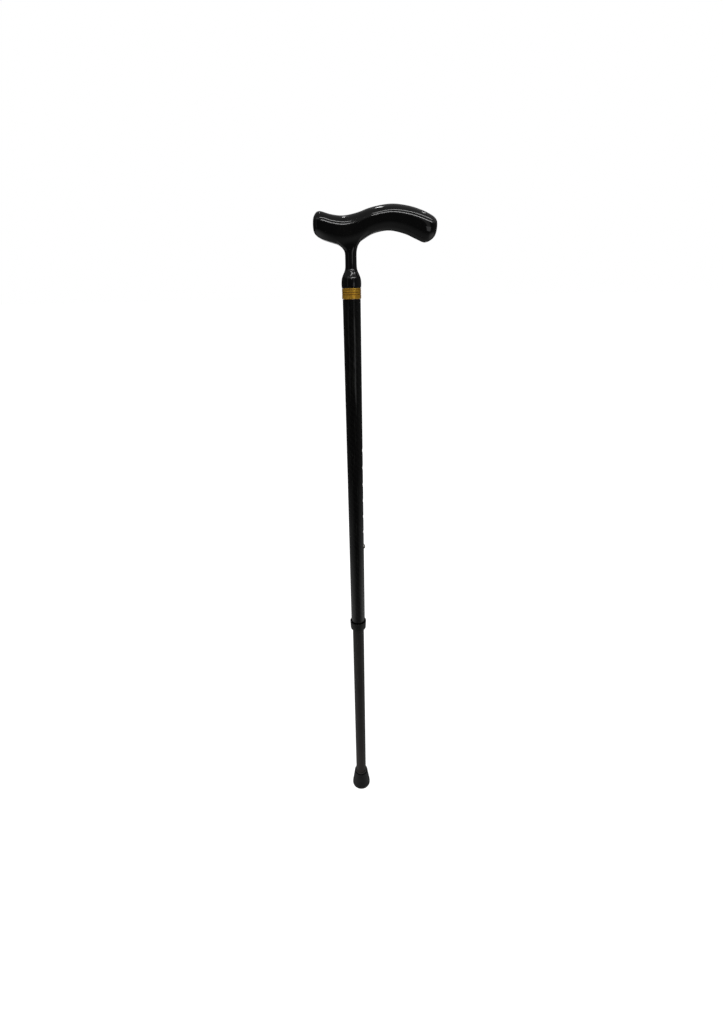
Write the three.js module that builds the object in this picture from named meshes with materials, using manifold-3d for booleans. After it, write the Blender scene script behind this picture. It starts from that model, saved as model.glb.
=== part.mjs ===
// Single point walking cane with an S-curved handle, a brass band and a telescopic, push-button shaft.
// Millimetres, +Z up. The origin is the centre of the rubber tip's flat underside, and +X is the way
// the grip points.
import * as THREE from 'three';
import { mergeVertices } from 'three/addons/utils/BufferGeometryUtils.js';
import Module from 'manifold-3d';

const wasm = await Module();
wasm.setup();

// ---------------------------------------------------------------- driving dimensions
const GAP = 0.3; // clearance between pieces that touch
const FIT = 0.1; // radial clearance of a snug fit
const ROUND = 32; // facets around the tubes and everything turned with them
const SMALL_ROUND = 20; // facets around pins, studs and holes

const TIP_RADIUS = 16.7; // widest part of the rubber tip
const TIP_RIM_RADIUS = 12.4;
const TIP_HEIGHT = 35.5;
const TIP_FLOOR = 6.5; // rubber under the tube
const TREAD_DEPTH = 1.2; // ring grooves in the sole
const TREAD_WIDTH = 1.5;
const TREAD_RADII = [6, 10.5]; // inner edge of each ring groove
const WASHER_THICKNESS = 1.2;
const WASHER_BORE = 2.5;

const LOWER_RADIUS = 9.2; // lower tube
const LOWER_BORE = 8;
const LOWER_TOP = 560;
const UPPER_RADIUS = 11; // upper tube
const UPPER_BORE = 9.5;
const UPPER_BOTTOM = 391.5;
const UPPER_TOP = 882;

const COLLAR_BOTTOM = 385; // lock collar at the tube joint
const COLLAR_TOP = 399.5;
const COLLAR_TOP_RADIUS = 13;
const COLLAR_BOTTOM_RADIUS = 12.35;
const SLEEVE_RADIUS = 11.9; // over the thread crests
const SLEEVE_TOP = COLLAR_TOP - 2;
const SLEEVE_LIP = 389.6; // underside of the sleeve's inward lip
const THREAD_DEPTH = 0.35;
const THREAD_PITCH = 2.4;
const RING_BOTTOM = COLLAR_BOTTOM + 1.7; // split ring
const RING_BOTTOM_RADIUS = 10.2;
const RING_TOP_RADIUS = 11.1;
const RING_SLIT = 1.5;

const BUTTON_HEIGHT = 538; // the button's axis, with the shaft fully extended
const BUTTON_RADIUS = 3.25;
const BUTTON_REACH = 13; // from the shaft's axis to the button's crown
const BUTTON_BACK = 5.8; // x of the button's flange, at its back
const FLANGE_RADIUS = 4.2;
const FLANGE_THICKNESS = 0.7;
const RIVET_RADIUS = 1.3; // the button's tail, which holds it to the spring
const RIVET_HEAD_RADIUS = 2.2;
const HOLE_RADIUS = BUTTON_RADIUS + 0.25;
const HOLE_COUNT = 7;
const HOLE_PITCH = 25.4;
const GUIDE_BORE = 5.5; // guide plug

const BAND_BOTTOM = UPPER_TOP + GAP; // brass band
const BAND_TOP = 894.1;
const BAND_RADIUS = 11.55;
const GROOVE_HEIGHTS = [887.1, 889.6, 892.3];
const GROOVE_DEPTH = 0.45;
const GROOVE_WIDTH = 0.9;

const BELL_BOTTOM = BAND_TOP + GAP; // underside of the handle's bell
const NECK_RADIUS = 6.8;
const PLUG_RADIUS = UPPER_BORE - FIT;
const PLUG_BOTTOM = 850;
const STUD_RADIUS = 4;
const STUD_BOTTOM = 856;
const STUD_TOP = 960;
const PIN_HEIGHT = 888;
const PIN_RADIUS = 1.5;

const CORE_LENGTH = 72; // flat steel bar inside the grip
const CORE_WIDTH = 14;
const CORE_HEIGHT = 8;
const CORE_CENTRE = [20, 960.5];
const CORE_SLOPE = 0.15;

// ---------------------------------------------------------------- materials
function material(color, roughness, metalness) {
  return new THREE.MeshStandardMaterial({ color, roughness, metalness });
}

const materials = {
  grip: material(0x0b0b0c, 0.12, 0),
  steel: material(0x9a9a98, 0.35, 1),
  springSteel: material(0x6f7276, 0.3, 1),
  chrome: material(0xc8cacc, 0.12, 1),
  brass: material(0x9c7420, 0.35, 1),
  carbon: material(0x141414, 0.18, 0.1),
  lowerTube: material(0x2a2827, 0.45, 0.6),
  blackNylon: material(0x161616, 0.5, 0),
  naturalNylon: material(0xc9c4b4, 0.5, 0),
  aluminium: material(0xa8aaac, 0.4, 1),
  rubber: material(0x1c1c1d, 0.85, 0),
};

// ---------------------------------------------------------------- geometry helpers
function solidOf(geometry) {
  const bare = geometry.clone();
  bare.deleteAttribute('normal');
  bare.deleteAttribute('uv');
  const merged = mergeVertices(bare, 1e-4);
  return new wasm.Manifold(new wasm.Mesh({
    numProp: 3,
    vertProperties: new Float32Array(merged.attributes.position.array),
    triVerts: new Uint32Array(merged.index.array),
  }));
}

function geometryOf(manifold) {
  const { vertProperties, triVerts } = manifold.getMesh();
  const geometry = new THREE.BufferGeometry();
  geometry.setAttribute('position', new THREE.BufferAttribute(new Float32Array(vertProperties), 3));
  geometry.setIndex(new THREE.BufferAttribute(new Uint32Array(triVerts), 1));
  geometry.computeVertexNormals();
  return geometry;
}

function cut(body, ...tools) {
  return geometryOf(tools.reduce((rest, tool) => rest.subtract(solidOf(tool)), solidOf(body)));
}

function join(first, ...others) {
  return geometryOf(others.reduce((sum, other) => sum.add(solidOf(other)), solidOf(first)));
}

// A solid of revolution about +Z. The profile is a list of [radius, height] pairs that runs up the
// outside; it starts and ends on the axis, or else it is a ring and is closed here.
function turned(profile, segments = ROUND) {
  const points = profile.map(([radius, height]) => new THREE.Vector2(radius, height));
  if (profile[0][0] > 0) points.push(points[0].clone());
  return new THREE.LatheGeometry(points, segments).rotateX(Math.PI / 2);
}

function tube(outer, inner, bottom, top) {
  return turned([[inner, bottom], [outer, bottom], [outer, top], [inner, top]]);
}

function rod(radius, bottom, top, segments = SMALL_ROUND) {
  return turned([[0, bottom], [radius, bottom], [radius, top], [0, top]], segments);
}

// A rod along +X from one x to another, at a given height.
function rodAlongX(radius, from, to, height) {
  return rod(radius, from, to).rotateY(Math.PI / 2).translate(0, 0, height);
}

// A rod along Y, centred on the shaft's axis, at a given height.
function rodAlongY(radius, length, height) {
  return rod(radius, -length / 2, length / 2).rotateX(Math.PI / 2).translate(0, 0, height);
}

// A closed skin over a row of rings of points, all with the same number of points. Each ring runs
// anticlockwise when seen from the last ring, and the two end rings are closed with fans.
function loft(rings) {
  const count = rings[0].length;
  const positions = rings.flat().flatMap((point) => point.toArray());
  const index = [];
  for (let ring = 0; ring + 1 < rings.length; ring += 1) {
    for (let side = 0; side < count; side += 1) {
      const a = ring * count + side;
      const b = ring * count + ((side + 1) % count);
      index.push(a, b, b + count, a, b + count, a + count);
    }
  }
  const ends = [rings[0], rings[rings.length - 1]];
  ends.forEach((ring, end) => {
    const centre = new THREE.Vector3();
    ring.forEach((point) => centre.addScaledVector(point, 1 / count));
    const hub = positions.length / 3;
    positions.push(...centre.toArray());
    const start = end === 0 ? 0 : (rings.length - 1) * count;
    for (let side = 0; side < count; side += 1) {
      const a = start + side;
      const b = start + ((side + 1) % count);
      if (end === 0) index.push(hub, b, a);
      else index.push(hub, a, b);
    }
  });
  const geometry = new THREE.BufferGeometry();
  geometry.setAttribute('position', new THREE.Float32BufferAttribute(positions, 3));
  geometry.setIndex(index);
  return geometry;
}

// ---------------------------------------------------------------- handle
// The grip's side view is two rails, given as matched [x, z] pairs from the nose to the tail.
const TOP_RAIL = [
  [-42.8, 961], [-41.4, 968.6], [-35.5, 974], [-22, 970.7], [-8, 969.2], [8, 971.8], [24, 976.6],
  [46, 979.6], [66, 977.4], [82, 972.8], [93.5, 967.6], [98.6, 963], [99.9, 957.4],
];
const UNDER_RAIL = [
  [-42.8, 960], [-41.6, 952.3], [-35, 946.6], [-22.5, 942.2], [-7, 939], [10.5, 942.8], [25.5, 950.3],
  [44, 953.5], [62.5, 949.9], [75.5, 944.6], [86, 940.9], [96, 946.6], [99.9, 956.4],
];
// Half the grip's width at the same stations.
const HALF_WIDTHS = [0.5, 8.5, 11.6, 12.2, 12.4, 12.8, 13.6, 14.2, 14.2, 13.8, 12.6, 8.8, 0.5];
const GRIP_SQUARENESS = 2.3; // 2 is an ellipse, more is squarer
const GRIP_STATIONS = 40;
const GRIP_SIDES = 20;

// The neck's stations: [height, left reach, right reach, half depth]. It is round up to the fillets.
const NECK_STATIONS = [
  [BELL_BOTTOM, 11.6, 11.6, 11.6],
  [896.2, 11.95, 11.95, 11.95],
  [899, 12.05, 12.05, 12.05],
  [902.2, 11.85, 11.85, 11.85],
  [904.6, 11.5, 11.5, 11.5],
  [906.4, 10.9, 10.9, 10.9],
  [908.8, 9.8, 9.8, 9.8],
  [911, 8.65, 8.65, 8.65],
  [913, 7.65, 7.65, 7.65],
  [915.2, 7.1, 7.1, 7.1],
  [919, NECK_RADIUS, NECK_RADIUS, NECK_RADIUS],
  [929, NECK_RADIUS, NECK_RADIUS, NECK_RADIUS],
  [932, 7.1, 7, 6.95],
  [934, 8, 7.2, 7.2],
  [936, 9.7, 7.6, 7.6],
  [938, 12.2, 8.2, 8.1],
  [940, 16.5, 9.4, 8.8],
  [942, 21, 11.2, 9.5],
  [944, 24, 13.6, 10],
  [950, 27, 22, 10.5],
];
const NECK_SIDES = 28;

function gripSkin() {
  const rail = (points) => new THREE.SplineCurve(points.map(([x, z]) => new THREE.Vector2(x, z)));
  const top = rail(TOP_RAIL);
  const under = rail(UNDER_RAIL);
  const width = rail(HALF_WIDTHS.map((half, station) => [station, half]));
  const power = 2 / GRIP_SQUARENESS;
  const squared = (value) => Math.sign(value) * Math.abs(value) ** power;
  const rings = [];
  for (let station = 0; station <= GRIP_STATIONS; station += 1) {
    const along = station / GRIP_STATIONS;
    const crown = top.getPoint(along);
    const belly = under.getPoint(along);
    const half = width.getPoint(along).y;
    const ring = [];
    for (let side = 0; side < GRIP_SIDES; side += 1) {
      const angle = (side / GRIP_SIDES) * 2 * Math.PI;
      const rise = (squared(Math.sin(angle)) + 1) / 2;
      const x = THREE.MathUtils.lerp(belly.x, crown.x, rise);
      const z = THREE.MathUtils.lerp(belly.y, crown.y, rise);
      ring.push(new THREE.Vector3(x, half * squared(Math.cos(angle)), z));
    }
    rings.push(ring);
  }
  return loft(rings);
}

function neckSkin() {
  return loft(NECK_STATIONS.map(([height, left, right, depth]) => {
    const ring = [];
    for (let side = 0; side < NECK_SIDES; side += 1) {
      const angle = (side / NECK_SIDES) * 2 * Math.PI;
      const reach = Math.cos(angle) < 0 ? left : right;
      ring.push(new THREE.Vector3(reach * Math.cos(angle), depth * Math.sin(angle), height));
    }
    return ring;
  }));
}

// The steel bar inside the grip, or with a margin the pocket that it is moulded into.
function coreBar(margin = 0) {
  const sides = [CORE_LENGTH, CORE_WIDTH, CORE_HEIGHT].map((side) => side + 2 * margin);
  return new THREE.BoxGeometry(...sides)
    .rotateY(-Math.atan(CORE_SLOPE))
    .translate(CORE_CENTRE[0], 0, CORE_CENTRE[1]);
}

function handleGrip() {
  const whole = join(gripSkin(), neckSkin());
  return cut(whole, rod(STUD_RADIUS + GAP, BELL_BOTTOM - 1, STUD_TOP + GAP), coreBar(GAP));
}

function handleCore() {
  return cut(coreBar(), rod(STUD_RADIUS + GAP, STUD_TOP - CORE_WIDTH, STUD_TOP + CORE_WIDTH));
}

function handleStud() {
  const pinHole = rodAlongY(PIN_RADIUS + GAP / 2, 2 * PLUG_RADIUS, PIN_HEIGHT);
  return cut(rod(STUD_RADIUS, STUD_BOTTOM, STUD_TOP), pinHole);
}

const retainingPin = () => rodAlongY(PIN_RADIUS, 2 * (PLUG_RADIUS - 2 * FIT), PIN_HEIGHT);

// ---------------------------------------------------------------- band and upper tube
function brassBand() {
  const inner = UPPER_BORE;
  const edge = 0.35; // small bevel on the band's two rims
  const profile = [
    [inner, BAND_BOTTOM], [BAND_RADIUS - edge, BAND_BOTTOM], [BAND_RADIUS, BAND_BOTTOM + edge],
  ];
  for (const height of GROOVE_HEIGHTS) {
    profile.push(
      [BAND_RADIUS, height - GROOVE_WIDTH / 2],
      [BAND_RADIUS - GROOVE_DEPTH, height - GROOVE_WIDTH / 6],
      [BAND_RADIUS - GROOVE_DEPTH, height + GROOVE_WIDTH / 6],
      [BAND_RADIUS, height + GROOVE_WIDTH / 2],
    );
  }
  profile.push([BAND_RADIUS, BAND_TOP - edge], [BAND_RADIUS - edge, BAND_TOP], [inner, BAND_TOP]);
  return turned(profile);
}

function tubeTopPlug() {
  const bore = STUD_RADIUS + FIT;
  const chamfer = 1;
  const plug = turned([
    [bore, PLUG_BOTTOM], [PLUG_RADIUS - chamfer, PLUG_BOTTOM], [PLUG_RADIUS, PLUG_BOTTOM + chamfer],
    [PLUG_RADIUS, BAND_TOP], [bore, BAND_TOP],
  ]);
  return cut(plug, rodAlongY(PIN_RADIUS + GAP / 2, 2 * UPPER_RADIUS, PIN_HEIGHT));
}

function upperTube() {
  const chamfer = 0.4;
  const wall = turned([
    [UPPER_BORE, UPPER_BOTTOM], [UPPER_RADIUS, UPPER_BOTTOM], [UPPER_RADIUS, UPPER_TOP - chamfer],
    [UPPER_RADIUS - chamfer, UPPER_TOP], [UPPER_BORE, UPPER_TOP],
  ]);
  const holes = [];
  for (let hole = 0; hole < HOLE_COUNT; hole += 1) {
    const height = BUTTON_HEIGHT + hole * HOLE_PITCH;
    holes.push(rodAlongX(HOLE_RADIUS, UPPER_BORE - 3, UPPER_RADIUS + 1, height));
  }
  return cut(wall, ...holes);
}

// ---------------------------------------------------------------- tube joint
// Bonded over the upper tube's end, with a lip under the end and turned thread crests outside.
function threadedSleeve() {
  const root = SLEEVE_RADIUS - THREAD_DEPTH;
  const bore = UPPER_RADIUS + FIT;
  const lipBore = LOWER_RADIUS + 2 * FIT;
  const flat = 0.2; // between two crests
  const profile = [
    [bore, UPPER_BOTTOM - GAP], [lipBore, UPPER_BOTTOM - GAP], [lipBore, SLEEVE_LIP], [root, SLEEVE_LIP],
  ];
  for (let height = SLEEVE_LIP + 0.6; height + THREAD_PITCH < SLEEVE_TOP; height += THREAD_PITCH) {
    profile.push(
      [root, height], [SLEEVE_RADIUS, height + THREAD_PITCH / 2], [root, height + THREAD_PITCH - flat],
    );
  }
  profile.push([root, SLEEVE_TOP], [bore, SLEEVE_TOP]);
  return turned(profile);
}

// The split ring that the collar's cone squeezes onto the lower tube.
function splitRing() {
  const bore = LOWER_RADIUS + FIT;
  const top = SLEEVE_LIP - GAP;
  const ring = turned([
    [bore, RING_BOTTOM], [RING_BOTTOM_RADIUS, RING_BOTTOM], [RING_TOP_RADIUS, top], [bore, top],
  ]);
  const slit = new THREE.BoxGeometry(5, RING_SLIT, 10).translate(-LOWER_RADIUS - 1, 0, RING_BOTTOM);
  return cut(ring, slit);
}

function lockCollar() {
  const bore = LOWER_RADIUS + GAP;
  const thread = SLEEVE_RADIUS + GAP / 2;
  const coneBottom = RING_BOTTOM - GAP;
  return turned([
    [bore, COLLAR_BOTTOM], [COLLAR_BOTTOM_RADIUS - 1, COLLAR_BOTTOM],
    [COLLAR_BOTTOM_RADIUS - 0.3, COLLAR_BOTTOM + 0.35], [COLLAR_BOTTOM_RADIUS, COLLAR_BOTTOM + 1.1],
    [COLLAR_TOP_RADIUS, COLLAR_TOP - 0.6], [COLLAR_TOP_RADIUS - 0.2, COLLAR_TOP],
    [thread + 0.3, COLLAR_TOP], [thread, COLLAR_TOP - 0.5], [thread, SLEEVE_LIP - 0.6],
    [RING_TOP_RADIUS + 0.4, SLEEVE_LIP - 0.8], [RING_BOTTOM_RADIUS + 0.35, coneBottom], [bore, coneBottom],
  ]);
}

// ---------------------------------------------------------------- lower tube, button and spring
const LEAF_THICKNESS = 0.8;
const LEAF_WIDTH = 6;
const LEAF_X = BUTTON_BACK - GAP - LEAF_THICKNESS / 2;
const BACK_LEAF_X = -6.6;
const LEAF_TOP = BUTTON_HEIGHT + 7;
const LEAF_FOLD = BUTTON_HEIGHT - 40;
const TUBE_BOTTOM = TIP_FLOOR + WASHER_THICKNESS + 2 * GAP;

const lowerTube = () => cut(
  tube(LOWER_RADIUS, LOWER_BORE, TUBE_BOTTOM, LOWER_TOP),
  rodAlongX(HOLE_RADIUS, LOWER_BORE - 3, LOWER_RADIUS + 1, BUTTON_HEIGHT),
);

// A hollow nylon plug whose flange guides the lower tube inside the upper one.
function guidePlug() {
  const spigotBottom = LOWER_TOP - 11;
  const flangeTop = LOWER_TOP + 6;
  const spigot = LOWER_BORE - FIT;
  const flange = UPPER_BORE - FIT;
  return turned([
    [GUIDE_BORE, spigotBottom], [spigot, spigotBottom], [spigot, LOWER_TOP + GAP],
    [flange, LOWER_TOP + GAP], [flange, flangeTop - 1], [flange - 1, flangeTop], [GUIDE_BORE, flangeTop],
  ]);
}

// The button is turned about its own axis: dome, shank, flange, and a riveted tail behind the flange.
function snapButton() {
  const flange = BUTTON_BACK + FLANGE_THICKNESS;
  const tail = LEAF_X - LEAF_THICKNESS / 2 - GAP;
  const profile = [
    [0, tail - 0.6], [RIVET_HEAD_RADIUS - 0.2, tail - 0.6], [RIVET_HEAD_RADIUS, tail],
    [RIVET_RADIUS, tail], [RIVET_RADIUS, BUTTON_BACK], [FLANGE_RADIUS, BUTTON_BACK],
    [FLANGE_RADIUS, flange], [BUTTON_RADIUS, flange], [BUTTON_RADIUS, BUTTON_REACH - 1.6],
    [BUTTON_RADIUS - 0.3, BUTTON_REACH - 0.9], [BUTTON_RADIUS - 1, BUTTON_REACH - 0.35],
    [BUTTON_RADIUS - 2, BUTTON_REACH - 0.08], [0, BUTTON_REACH],
  ];
  return turned(profile, SMALL_ROUND).rotateY(Math.PI / 2).translate(0, 0, BUTTON_HEIGHT);
}

// A V-shaped leaf spring: the front leaf carries the button, the back leaf lies on the tube's far wall.
function springClip() {
  const middle = new THREE.SplineCurve([
    [LEAF_X, LEAF_TOP], [LEAF_X, BUTTON_HEIGHT], [LEAF_X - 0.6, BUTTON_HEIGHT - 12], [2.4, LEAF_FOLD + 8],
    [0.8, LEAF_FOLD], [-0.8, LEAF_FOLD], [-2.6, LEAF_FOLD + 8], [BACK_LEAF_X, BUTTON_HEIGHT - 18],
    [BACK_LEAF_X, BUTTON_HEIGHT - 6], [BACK_LEAF_X, LEAF_TOP],
  ].map(([x, z]) => new THREE.Vector2(x, z)));
  const steps = 40;
  const near = [];
  const far = [];
  for (let step = 0; step <= steps; step += 1) {
    const point = middle.getPoint(step / steps);
    const tangent = middle.getTangent(step / steps);
    const normal = new THREE.Vector2(-tangent.y, tangent.x).multiplyScalar(LEAF_THICKNESS / 2);
    near.push(point.clone().add(normal));
    far.unshift(point.clone().sub(normal));
  }
  const strip = new THREE.ExtrudeGeometry(new THREE.Shape([...near, ...far]), {
    depth: LEAF_WIDTH, bevelEnabled: false, steps: 1,
  }).rotateX(Math.PI / 2).translate(0, LEAF_WIDTH / 2, 0);
  return cut(strip, rodAlongX(RIVET_RADIUS + GAP, 1, BUTTON_BACK, BUTTON_HEIGHT));
}

// ---------------------------------------------------------------- tip
function tipWasher() {
  const bottom = TIP_FLOOR + GAP;
  return tube(LOWER_RADIUS - 2 * FIT, WASHER_BORE, bottom, bottom + WASHER_THICKNESS);
}

function rubberTip() {
  const socket = LOWER_RADIUS + FIT;
  const draft = 0.2; // slope of the ring grooves' walls
  const profile = [[0, 0]];
  for (const radius of TREAD_RADII) {
    profile.push(
      [radius, 0], [radius + draft, TREAD_DEPTH], [radius + TREAD_WIDTH - draft, TREAD_DEPTH],
      [radius + TREAD_WIDTH, 0],
    );
  }
  profile.push(
    [TIP_RADIUS - 0.4, 0], [TIP_RADIUS, 0.5], [TIP_RADIUS, 3.6],
    [TIP_RADIUS - 0.25, 6], [TIP_RADIUS - 0.9, 9.5], [TIP_RIM_RADIUS, TIP_HEIGHT - 2],
    [TIP_RIM_RADIUS - 0.3, TIP_HEIGHT - 0.6], [TIP_RIM_RADIUS - 1, TIP_HEIGHT],
    [socket + 0.9, TIP_HEIGHT], [socket, TIP_HEIGHT - 1.6], [socket, TIP_FLOOR], [0, TIP_FLOOR],
  );
  return turned(profile);
}

// ---------------------------------------------------------------- assembly
const cane = new THREE.Group();

function add(name, geometry, look) {
  const mesh = new THREE.Mesh(geometry, look);
  mesh.name = name;
  cane.add(mesh);
}

add('handle_grip', handleGrip(), materials.grip);
add('handle_core', handleCore(), materials.steel);
add('handle_stud', handleStud(), materials.steel);
add('retaining_pin', retainingPin(), materials.steel);
add('tube_top_plug', tubeTopPlug(), materials.aluminium);
add('brass_band', brassBand(), materials.brass);
add('upper_tube', upperTube(), materials.carbon);
add('threaded_sleeve', threadedSleeve(), materials.blackNylon);
add('split_ring', splitRing(), materials.naturalNylon);
add('lock_collar', lockCollar(), materials.blackNylon);
add('lower_tube', lowerTube(), materials.lowerTube);
add('guide_plug', guidePlug(), materials.naturalNylon);
add('spring_clip', springClip(), materials.springSteel);
add('snap_button', snapButton(), materials.chrome);
add('tip_washer', tipWasher(), materials.steel);
add('rubber_tip', rubberTip(), materials.rubber);

export default cane;
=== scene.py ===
# Single point walking cane: finished surfaces, materials, stage, lights and camera, built round
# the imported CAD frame. The cane's own sizes are in millimetres. What Blender itself is given is in
# metres: meshes, bump distances, the stage, the lights and the camera.
import math

import bmesh
import bpy
import numpy as np
from mathutils import Matrix, Vector


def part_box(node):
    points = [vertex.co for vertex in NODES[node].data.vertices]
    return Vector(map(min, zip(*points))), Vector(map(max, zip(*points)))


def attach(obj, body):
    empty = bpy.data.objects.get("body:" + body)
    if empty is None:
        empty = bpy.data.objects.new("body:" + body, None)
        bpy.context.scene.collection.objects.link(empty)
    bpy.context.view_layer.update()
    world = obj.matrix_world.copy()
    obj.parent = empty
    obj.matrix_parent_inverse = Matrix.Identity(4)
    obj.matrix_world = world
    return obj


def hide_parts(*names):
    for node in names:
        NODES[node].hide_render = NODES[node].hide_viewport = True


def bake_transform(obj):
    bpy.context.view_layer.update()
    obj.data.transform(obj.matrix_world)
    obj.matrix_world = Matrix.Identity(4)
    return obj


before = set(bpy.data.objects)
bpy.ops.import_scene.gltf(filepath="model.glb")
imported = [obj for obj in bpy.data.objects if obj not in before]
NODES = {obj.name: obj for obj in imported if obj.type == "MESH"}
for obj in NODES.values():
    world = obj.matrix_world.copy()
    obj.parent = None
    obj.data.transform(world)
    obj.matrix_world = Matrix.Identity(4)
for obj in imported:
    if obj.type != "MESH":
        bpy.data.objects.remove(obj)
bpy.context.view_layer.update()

SCENE = bpy.context.scene
MM = 0.001
FULL_TURN = 2 * math.pi


# ------------------------------------------------------------ sizes, read from the frame
def size_of(node):
    """(radius about the shaft's axis, lowest height, highest height) of a turned CAD node."""
    low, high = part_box(node)
    return (high.y - low.y) / 2 / MM, low.z / MM, high.z / MM


UPPER_RADIUS, UPPER_LOW, UPPER_HIGH = size_of("upper_tube")
LOWER_RADIUS, LOWER_LOW, LOWER_HIGH = size_of("lower_tube")
COLLAR_RADIUS, COLLAR_LOW, COLLAR_HIGH = size_of("lock_collar")
BAND_RADIUS, BAND_LOW, BAND_HIGH = size_of("brass_band")
TIP_RADIUS, _, TIP_HIGH = size_of("rubber_tip")
SLEEVE_RADIUS, _, SLEEVE_HIGH = size_of("threaded_sleeve")
BUTTON_BOX = [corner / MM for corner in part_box("snap_button")]
BUTTON_HEIGHT = (BUTTON_BOX[0].z + BUTTON_BOX[1].z) / 2
BUTTON_REACH = BUTTON_BOX[1].x
UPPER_WALL, LOWER_WALL = 1.5, 1.2
UPPER_BORE = UPPER_RADIUS - UPPER_WALL
LOWER_BORE = LOWER_RADIUS - LOWER_WALL
BUTTON_RADIUS = 3.25
HOLE_CLEARANCE = 0.25
HOLE_RADIUS = BUTTON_RADIUS + HOLE_CLEARANCE
HOLE_COUNT = 7
HOLE_PITCH = 25.4
TIP_LIP = 10.7  # outer radius of the inner lip that grips the lower tube
ON_AXIS = 1e-6  # a profile's point nearer to the axis than this is on it
CORNER_ROOM = 0.49  # most of a side that one eased corner takes up, so that two never meet


# ------------------------------------------------------------ mesh helpers
def make_object(name, verts, faces):
    """A mesh object in metres from points in millimetres, with its normals made consistent."""
    mesh = bpy.data.meshes.new(name)
    mesh.from_pydata([tuple(Vector(v) * MM) for v in verts], [], faces)
    work = bmesh.new()
    work.from_mesh(mesh)
    bmesh.ops.recalc_face_normals(work, faces=work.faces)
    work.to_mesh(mesh)
    work.free()
    obj = bpy.data.objects.new(name, mesh)
    SCENE.collection.objects.link(obj)
    return obj


def shade(obj, angle=35):
    """Smooth shading, with edges sharper than the angle in degrees kept sharp."""
    limit = math.radians(angle)
    work = bmesh.new()
    work.from_mesh(obj.data)
    for face in work.faces:
        face.smooth = True
    for edge in work.edges:
        edge.smooth = len(edge.link_faces) == 2 and edge.calc_face_angle(0) < limit
    work.to_mesh(obj.data)
    work.free()
    return obj


def bake_modifiers(obj):
    """Replaces the object's mesh by its evaluated mesh, and drops its modifiers."""
    graph = bpy.context.evaluated_depsgraph_get()
    mesh = bpy.data.meshes.new_from_object(obj.evaluated_get(graph), depsgraph=graph)
    obj.modifiers.clear()
    obj.data = mesh


def bridge(first, second):
    """Quads between two closed loops with as many vertices each."""
    after = first[1:] + first[:1], second[1:] + second[:1]
    return [(a, b, c, d) for a, b, c, d in zip(first, after[0], after[1], second)]


def rounded(profile, radii, steps=5):
    """A profile of [r, z] points with some corners eased into curves.

    radii maps a point's place in the profile to the radius of its corner.
    """
    points = [Vector(p) for p in profile]
    path = []
    for k, corner in enumerate(points):
        size = radii.get(k, 0)
        if size == 0:
            path.append(corner)
            continue
        before, after = points[k - 1] - corner, points[(k + 1) % len(points)] - corner
        room = CORNER_ROOM * min(before.length, after.length)
        reach = min(size / math.tan(before.angle(after) / 2), room)
        start = corner + before.normalized() * reach
        end = corner + after.normalized() * reach
        for step in range(steps + 1):
            t = step / steps
            path.append((1 - t) ** 2 * start + 2 * t * (1 - t) * corner + t ** 2 * end)
    return path


def turned(name, profile, segments=128):
    """A body of revolution about +Z from a profile of [r, z] points.

    One that starts and ends on the axis is solid. Any other is a ring.
    """
    verts, faces, rows = [], [], []
    for r, z in profile:
        if r < ON_AXIS:
            rows.append([len(verts)] * segments)
            verts.append((0, 0, z))
            continue
        rows.append(list(range(len(verts), len(verts) + segments)))
        for side in range(segments):
            angle = FULL_TURN * side / segments
            verts.append((r * math.cos(angle), r * math.sin(angle), z))
    closing = [] if profile[0][0] < ON_AXIS else rows[:1]
    for low, high in zip(rows, rows[1:] + closing):
        for quad in bridge(low, high):
            loop = [v for k, v in enumerate(quad) if v != quad[k - 1]]
            if len(loop) > 2:
                faces.append(loop)
    return shade(make_object(name, verts, faces))


PATCH_REACH = 1.75  # half the side of the square patch round a hole, in hole radii
PATCH = [(0.35, 0, 0.3), (0.7, 0, 0.3)]  # (share of the way in, sunk by, radius past the hole's)
OUTER_RIM = [(1, 0, 0.3), (1, 0.07, 0.1), (1, 0.3, 0)]
INNER_RIM = [(1, 0, 0)]
EDGE_STEPS = 4  # from a wall round to the end of the tube


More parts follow.
